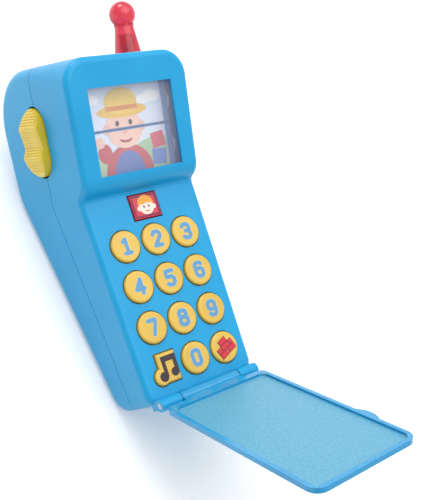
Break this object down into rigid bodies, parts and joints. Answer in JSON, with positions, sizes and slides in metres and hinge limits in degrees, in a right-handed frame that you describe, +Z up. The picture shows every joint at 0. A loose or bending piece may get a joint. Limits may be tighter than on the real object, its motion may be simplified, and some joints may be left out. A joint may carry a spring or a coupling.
{
  "type": "toy mobile phone",
  "caption": "Chunky toy mobile phone with round keys, a flip cover, a picture window whose drums turn when a side rocker is tipped, and a ball-tipped antenna.",
  "frame": {"origin": "middle of the flat back that the phone lies on, on the outer face of the battery door", "axes": "+X across the phone to the side with the antenna, +Y along the back towards the head and its antenna, +Z up, away from the surface the phone lies on"},
  "size_m": [0.0622, 0.2183, 0.1002],
  "materials": {
    "blue_shell": "satin moulded",
    "frosted_blue": "frosted, see-through",
    "clear_plastic": "clear",
    "yellow_plastic": "satin moulded",
    "red_plastic": "satin moulded",
    "red_translucent": "see-through",
    "white_plastic": "moulded",
    "drum_blue": "moulded",
    "picture_paper": "printed",
    "grey_rubber": "matte",
    "green_board": "satin",
    "black_resin": "matte",
    "steel": "bright",
    "nickel": "plated",
    "cell_jacket": "printed sleeve",
    "cone_paper": "matte",
    "ferrite": "matte"
  },
  "bodies": {
    "casing": {"front_shell": "blue_shell", "rear_shell": "blue_shell", "case_screws": "steel", "screen_pane": "clear_plastic", "drum_frame": "drum_blue", "rocker_pivot_pin": "steel", "key_mat": "grey_rubber", "key_domes": "grey_rubber", "circuit_board": "green_board", "sound_chip": "black_resin", "hinge_pin": "steel", "antenna": "red_translucent", "antenna_lamp": "clear_plastic", "battery_box": "white_plastic", "battery_door": "blue_shell", "battery_door_screw": "steel", "battery_left": "cell_jacket", "battery_right": "cell_jacket", "battery_contacts": "nickel", "battery_springs": "nickel", "speaker_basket": "steel", "speaker_cone": "cone_paper", "speaker_magnet": "ferrite"},
    "cover": {"flip_cover": "frosted_blue"},
    "rocker": {"thumb_rocker": "yellow_plastic"},
    "rack": {"rack_slider": "white_plastic"},
    "upper_drum": {"upper_drum": "drum_blue", "upper_drum_axle": "steel", "upper_drum_pinion": "white_plastic", "upper_drum_disc": "white_plastic", "upper_drum_pictures": "picture_paper"},
    "lower_drum": {"lower_drum": "drum_blue", "lower_drum_axle": "steel", "lower_drum_pinion": "white_plastic", "lower_drum_disc": "white_plastic", "lower_drum_pictures": "picture_paper"},
    "key_1": {"key_1": "yellow_plastic"},
    "key_2": {"key_2": "yellow_plastic"},
    "key_3": {"key_3": "yellow_plastic"},
    "key_4": {"key_4": "yellow_plastic"},
    "key_5": {"key_5": "yellow_plastic"},
    "key_6": {"key_6": "yellow_plastic"},
    "key_7": {"key_7": "yellow_plastic"},
    "key_8": {"key_8": "yellow_plastic"},
    "key_9": {"key_9": "yellow_plastic"},
    "key_0": {"key_0": "yellow_plastic"},
    "brick_key": {"brick_key": "yellow_plastic"},
    "note_key": {"note_key": "yellow_plastic"},
    "face_key": {"face_key": "red_plastic"}
  },
  "joints": [
    {"name": "cover_hinge", "type": "hinge", "parent": "casing", "child": "cover", "pos_m": [0, -0.06458, 0.03226], "axis": [1, 0, 0], "range_deg": [-114.4, 0]},
    {"name": "rocker_tilt", "type": "hinge", "parent": "casing", "child": "rocker", "pos_m": [-0.025, 0.05478, 0.04017], "axis": [0, -0.5218, 0.8531], "range_deg": [-12, 12]},
    {"name": "rack_slide", "type": "slide", "parent": "casing", "child": "rack", "axis": [0, 0.8531, 0.5218], "range_m": [-0.00526, 0.00526]},
    {"name": "upper_drum_spin", "type": "hinge", "parent": "casing", "child": "upper_drum", "pos_m": [0, 0.05404, 0.06117], "axis": [1, 0, 0], "range_deg": [-120.2, 120.2]},
    {"name": "lower_drum_spin", "type": "hinge", "parent": "casing", "child": "lower_drum", "pos_m": [0, 0.03796, 0.05133], "axis": [1, 0, 0], "range_deg": [-120.2, 120.2]},
    {"name": "key_1_press", "type": "slide", "parent": "casing", "child": "key_1", "axis": [0, 0.2368, -0.9715], "range_m": [0, 0.0012], "stiffness_N_per_m": 350},
    {"name": "key_2_press", "type": "slide", "parent": "casing", "child": "key_2", "axis": [0, 0.2368, -0.9715], "range_m": [0, 0.0012], "stiffness_N_per_m": 350},
    {"name": "key_3_press", "type": "slide", "parent": "casing", "child": "key_3", "axis": [0, 0.2368, -0.9715], "range_m": [0, 0.0012], "stiffness_N_per_m": 350},
    {"name": "key_4_press", "type": "slide", "parent": "casing", "child": "key_4", "axis": [0, 0.2368, -0.9715], "range_m": [0, 0.0012], "stiffness_N_per_m": 350},
    {"name": "key_5_press", "type": "slide", "parent": "casing", "child": "key_5", "axis": [0, 0.2368, -0.9715], "range_m": [0, 0.0012], "stiffness_N_per_m": 350, "deforming": ["key_domes"]},
    {"name": "key_6_press", "type": "slide", "parent": "casing", "child": "key_6", "axis": [0, 0.2368, -0.9715], "range_m": [0, 0.0012], "stiffness_N_per_m": 350},
    {"name": "key_7_press", "type": "slide", "parent": "casing", "child": "key_7", "axis": [0, 0.2368, -0.9715], "range_m": [0, 0.0012], "stiffness_N_per_m": 350},
    {"name": "key_8_press", "type": "slide", "parent": "casing", "child": "key_8", "axis": [0, 0.2368, -0.9715], "range_m": [0, 0.0012], "stiffness_N_per_m": 350},
    {"name": "key_9_press", "type": "slide", "parent": "casing", "child": "key_9", "axis": [0, 0.2368, -0.9715], "range_m": [0, 0.0012], "stiffness_N_per_m": 350},
    {"name": "key_0_press", "type": "slide", "parent": "casing", "child": "key_0", "axis": [0, 0.2368, -0.9715], "range_m": [0, 0.0012], "stiffness_N_per_m": 350},
    {"name": "brick_key_press", "type": "slide", "parent": "casing", "child": "brick_key", "axis": [0, 0.2368, -0.9715], "range_m": [0, 0.0012], "stiffness_N_per_m": 350},
    {"name": "note_key_press", "type": "slide", "parent": "casing", "child": "note_key", "axis": [0, 0.2368, -0.9715], "range_m": [0, 0.0012], "stiffness_N_per_m": 350},
    {"name": "face_key_press", "type": "slide", "parent": "casing", "child": "face_key", "axis": [0, 0.2368, -0.9715], "range_m": [0, 0.0012], "stiffness_N_per_m": 350}
  ],
  "couplings": [
    {"joint": "rack_slide", "follows": "rocker_tilt", "m_per_rad": 0.025},
    {"joint": "upper_drum_spin", "follows": "rocker_tilt", "ratio": 10},
    {"joint": "lower_drum_spin", "follows": "rocker_tilt", "ratio": 10}
  ]
}
